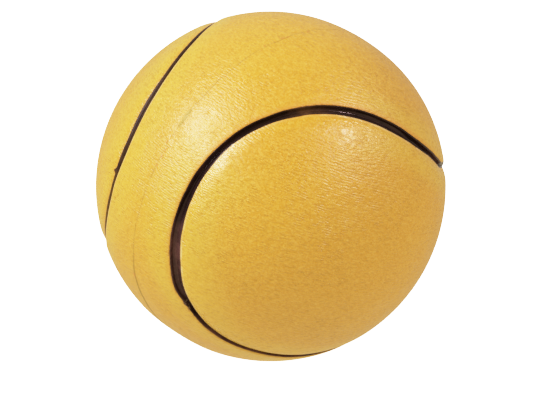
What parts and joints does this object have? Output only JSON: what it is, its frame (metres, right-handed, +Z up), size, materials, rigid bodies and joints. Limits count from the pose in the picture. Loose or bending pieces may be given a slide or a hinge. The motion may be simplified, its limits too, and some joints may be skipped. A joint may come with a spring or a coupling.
{
  "type": "rubber play ball",
  "caption": "Hollow rubber ball with two dumbbell-shaped cover panels and a dark seam groove curving round it like a tennis ball's.",
  "frame": {"origin": "the ball's centre", "axes": "+Z up as the ball lies on a floor; the lobe of cover_panel_front faces -Y, towards +X and down"},
  "size_m": [0.0634, 0.0634, 0.0634],
  "materials": {
    "cover_rubber": "satin yellow rubber with fine parallel mould marks",
    "seam_compound": "glossy brown-black, hand filled",
    "panel_cement": "dried rubber cement, matt",
    "core_rubber": "matt dark moulded rubber",
    "core_joint_cement": "cured rubber cement, matt"
  },
  "bodies": {
    "root": {"cover_panel_front": "cover_rubber", "cover_panel_side": "cover_rubber", "seam_strip": "seam_compound", "panel_cement_front": "panel_cement", "panel_cement_side": "panel_cement", "core_half_shell_front": "core_rubber", "core_half_shell_back": "core_rubber", "core_joint_cement": "core_joint_cement"}
  },
  "joints": []
}
